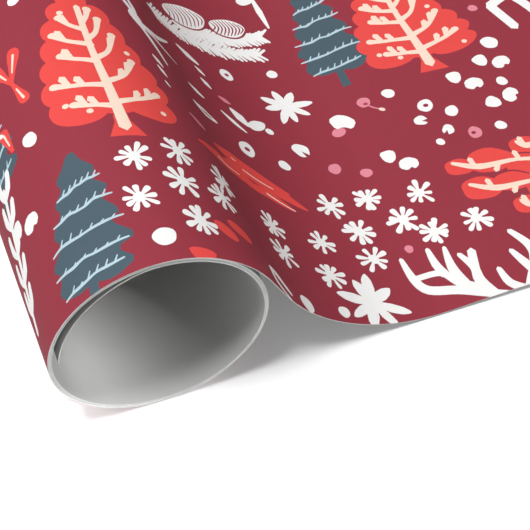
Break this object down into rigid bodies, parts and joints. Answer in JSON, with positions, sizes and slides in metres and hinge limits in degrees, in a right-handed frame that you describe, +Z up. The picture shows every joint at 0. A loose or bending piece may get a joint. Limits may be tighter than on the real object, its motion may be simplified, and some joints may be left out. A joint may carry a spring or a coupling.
{
  "type": "wrapping paper roll",
  "caption": "Coreless roll of printed gift wrap, partly unrolled: wound turns, a loose inner end, a drape and a flat leaf that lifts and curls.",
  "frame": {"origin": "on the surface that the roll lies on, under the centre of the whole model's box", "axes": "+Y along the roll and across the sheet, away from the near end; +X from the roll along the leaf; +Z up"},
  "size_m": [0.4412, 0.7, 0.06],
  "materials": {
    "printed_paper": "satin coated print, plain white back",
    "plain_paper": "matt uncoated white"
  },
  "bodies": {
    "roll_and_drape": {"outer_turn": "printed_paper", "drape_shoulder": "printed_paper", "drape_foot_1": "printed_paper", "drape_foot_2": "printed_paper", "drape_foot_3": "printed_paper", "landing": "printed_paper"},
    "turn_2": {"turn_2": "plain_paper"},
    "turn_3": {"turn_3": "plain_paper"},
    "turn_4": {"turn_4": "plain_paper"},
    "turn_5": {"turn_5": "plain_paper"},
    "inner_end_1": {"inner_end_1": "plain_paper"},
    "inner_end_2": {"inner_end_2": "plain_paper"},
    "inner_end_3": {"inner_end_3": "plain_paper"},
    "leaf_1": {"leaf_1": "printed_paper"},
    "leaf_2": {"leaf_2": "printed_paper"},
    "leaf_3": {"leaf_3": "printed_paper"},
    "leaf_4": {"leaf_4": "printed_paper"},
    "leaf_5": {"leaf_5": "printed_paper"},
    "leaf_6": {"leaf_6": "printed_paper"},
    "leaf_7": {"leaf_7": "printed_paper"},
    "leaf_8": {"leaf_8": "printed_paper"},
    "leaf_9": {"leaf_9": "printed_paper"},
    "leaf_10": {"leaf_10": "printed_paper"},
    "leaf_11": {"leaf_11": "printed_paper"},
    "leaf_12": {"leaf_12": "printed_paper"}
  },
  "joints": [
    {"name": "coil_slide_2", "type": "slide", "parent": "roll_and_drape", "child": "turn_2", "axis": [0, -1, 0], "range_m": [-0.012, 0.012]},
    {"name": "coil_slide_3", "type": "slide", "parent": "turn_2", "child": "turn_3", "axis": [0, -1, 0], "range_m": [-0.012, 0.012]},
    {"name": "coil_slide_4", "type": "slide", "parent": "turn_3", "child": "turn_4", "axis": [0, -1, 0], "range_m": [-0.012, 0.012]},
    {"name": "coil_slide_5", "type": "slide", "parent": "turn_4", "child": "turn_5", "axis": [0, -1, 0], "range_m": [-0.012, 0.012]},
    {"name": "inner_end_flex_1", "type": "hinge", "parent": "turn_5", "child": "inner_end_1", "pos_m": [-0.19061, 0, 0.05866], "axis": [0, -1, 0], "range_deg": [-0.5, 12], "stiffness_Nm_per_rad": 0.05},
    {"name": "inner_end_flex_2", "type": "hinge", "parent": "inner_end_1", "child": "inner_end_2", "pos_m": [-0.20684, 0, 0.05164], "axis": [0, -1, 0], "range_deg": [-0.5, 12], "stiffness_Nm_per_rad": 0.05},
    {"name": "inner_end_flex_3", "type": "hinge", "parent": "inner_end_2", "child": "inner_end_3", "pos_m": [-0.21412, 0, 0.04249], "axis": [0, -1, 0], "range_deg": [-0.5, 12], "stiffness_Nm_per_rad": 0.05},
    {"name": "leaf_lift_1", "type": "hinge", "parent": "roll_and_drape", "child": "leaf_1", "pos_m": [-0.07939, 0, 0.00009], "axis": [0, -1, 0], "range_deg": [0, 12]},
    {"name": "leaf_lift_2", "type": "hinge", "parent": "leaf_1", "child": "leaf_2", "pos_m": [-0.05439, 0, 0.00009], "axis": [0, -1, 0], "range_deg": [0, 12]},
    {"name": "leaf_lift_3", "type": "hinge", "parent": "leaf_2", "child": "leaf_3", "pos_m": [-0.02939, 0, 0.00009], "axis": [0, -1, 0], "range_deg": [0, 12]},
    {"name": "leaf_lift_4", "type": "hinge", "parent": "leaf_3", "child": "leaf_4", "pos_m": [-0.00439, 0, 0.00009], "axis": [0, -1, 0], "range_deg": [0, 12]},
    {"name": "leaf_lift_5", "type": "hinge", "parent": "leaf_4", "child": "leaf_5", "pos_m": [0.02061, 0, 0.00009], "axis": [0, -1, 0], "range_deg": [0, 12]},
    {"name": "leaf_lift_6", "type": "hinge", "parent": "leaf_5", "child": "leaf_6", "pos_m": [0.04561, 0, 0.00009], "axis": [0, -1, 0], "range_deg": [0, 12]},
    {"name": "leaf_lift_7", "type": "hinge", "parent": "leaf_6", "child": "leaf_7", "pos_m": [0.07061, 0, 0.00009], "axis": [0, -1, 0], "range_deg": [0, 12]},
    {"name": "leaf_lift_8", "type": "hinge", "parent": "leaf_7", "child": "leaf_8", "pos_m": [0.09561, 0, 0.00009], "axis": [0, -1, 0], "range_deg": [0, 12]},
    {"name": "leaf_lift_9", "type": "hinge", "parent": "leaf_8", "child": "leaf_9", "pos_m": [0.12061, 0, 0.00009], "axis": [0, -1, 0], "range_deg": [0, 12]},
    {"name": "leaf_lift_10", "type": "hinge", "parent": "leaf_9", "child": "leaf_10", "pos_m": [0.14561, 0, 0.00009], "axis": [0, -1, 0], "range_deg": [0, 12]},
    {"name": "leaf_lift_11", "type": "hinge", "parent": "leaf_10", "child": "leaf_11", "pos_m": [0.17061, 0, 0.00009], "axis": [0, -1, 0], "range_deg": [0, 12]},
    {"name": "leaf_lift_12", "type": "hinge", "parent": "leaf_11", "child": "leaf_12", "pos_m": [0.19561, 0, 0.00009], "axis": [0, -1, 0], "range_deg": [0, 12]}
  ],
  "couplings": [
    {"joint": "coil_slide_3", "follows": "coil_slide_2", "ratio": 1},
    {"joint": "coil_slide_4", "follows": "coil_slide_2", "ratio": 1},
    {"joint": "coil_slide_5", "follows": "coil_slide_2", "ratio": 1},
    {"joint": "inner_end_flex_2", "follows": "inner_end_flex_1", "ratio": 1},
    {"joint": "inner_end_flex_3", "follows": "inner_end_flex_1", "ratio": 1},
    {"joint": "leaf_lift_2", "follows": "leaf_lift_1", "ratio": 1},
    {"joint": "leaf_lift_3", "follows": "leaf_lift_1", "ratio": 1},
    {"joint": "leaf_lift_4", "follows": "leaf_lift_1", "ratio": 1},
    {"joint": "leaf_lift_5", "follows": "leaf_lift_1", "ratio": 1},
    {"joint": "leaf_lift_6", "follows": "leaf_lift_1", "ratio": 1},
    {"joint": "leaf_lift_7", "follows": "leaf_lift_1", "ratio": 1},
    {"joint": "leaf_lift_8", "follows": "leaf_lift_1", "ratio": 1},
    {"joint": "leaf_lift_9", "follows": "leaf_lift_1", "ratio": 1},
    {"joint": "leaf_lift_10", "follows": "leaf_lift_1", "ratio": 1},
    {"joint": "leaf_lift_11", "follows": "leaf_lift_1", "ratio": 1},
    {"joint": "leaf_lift_12", "follows": "leaf_lift_1", "ratio": 1}
  ]
}
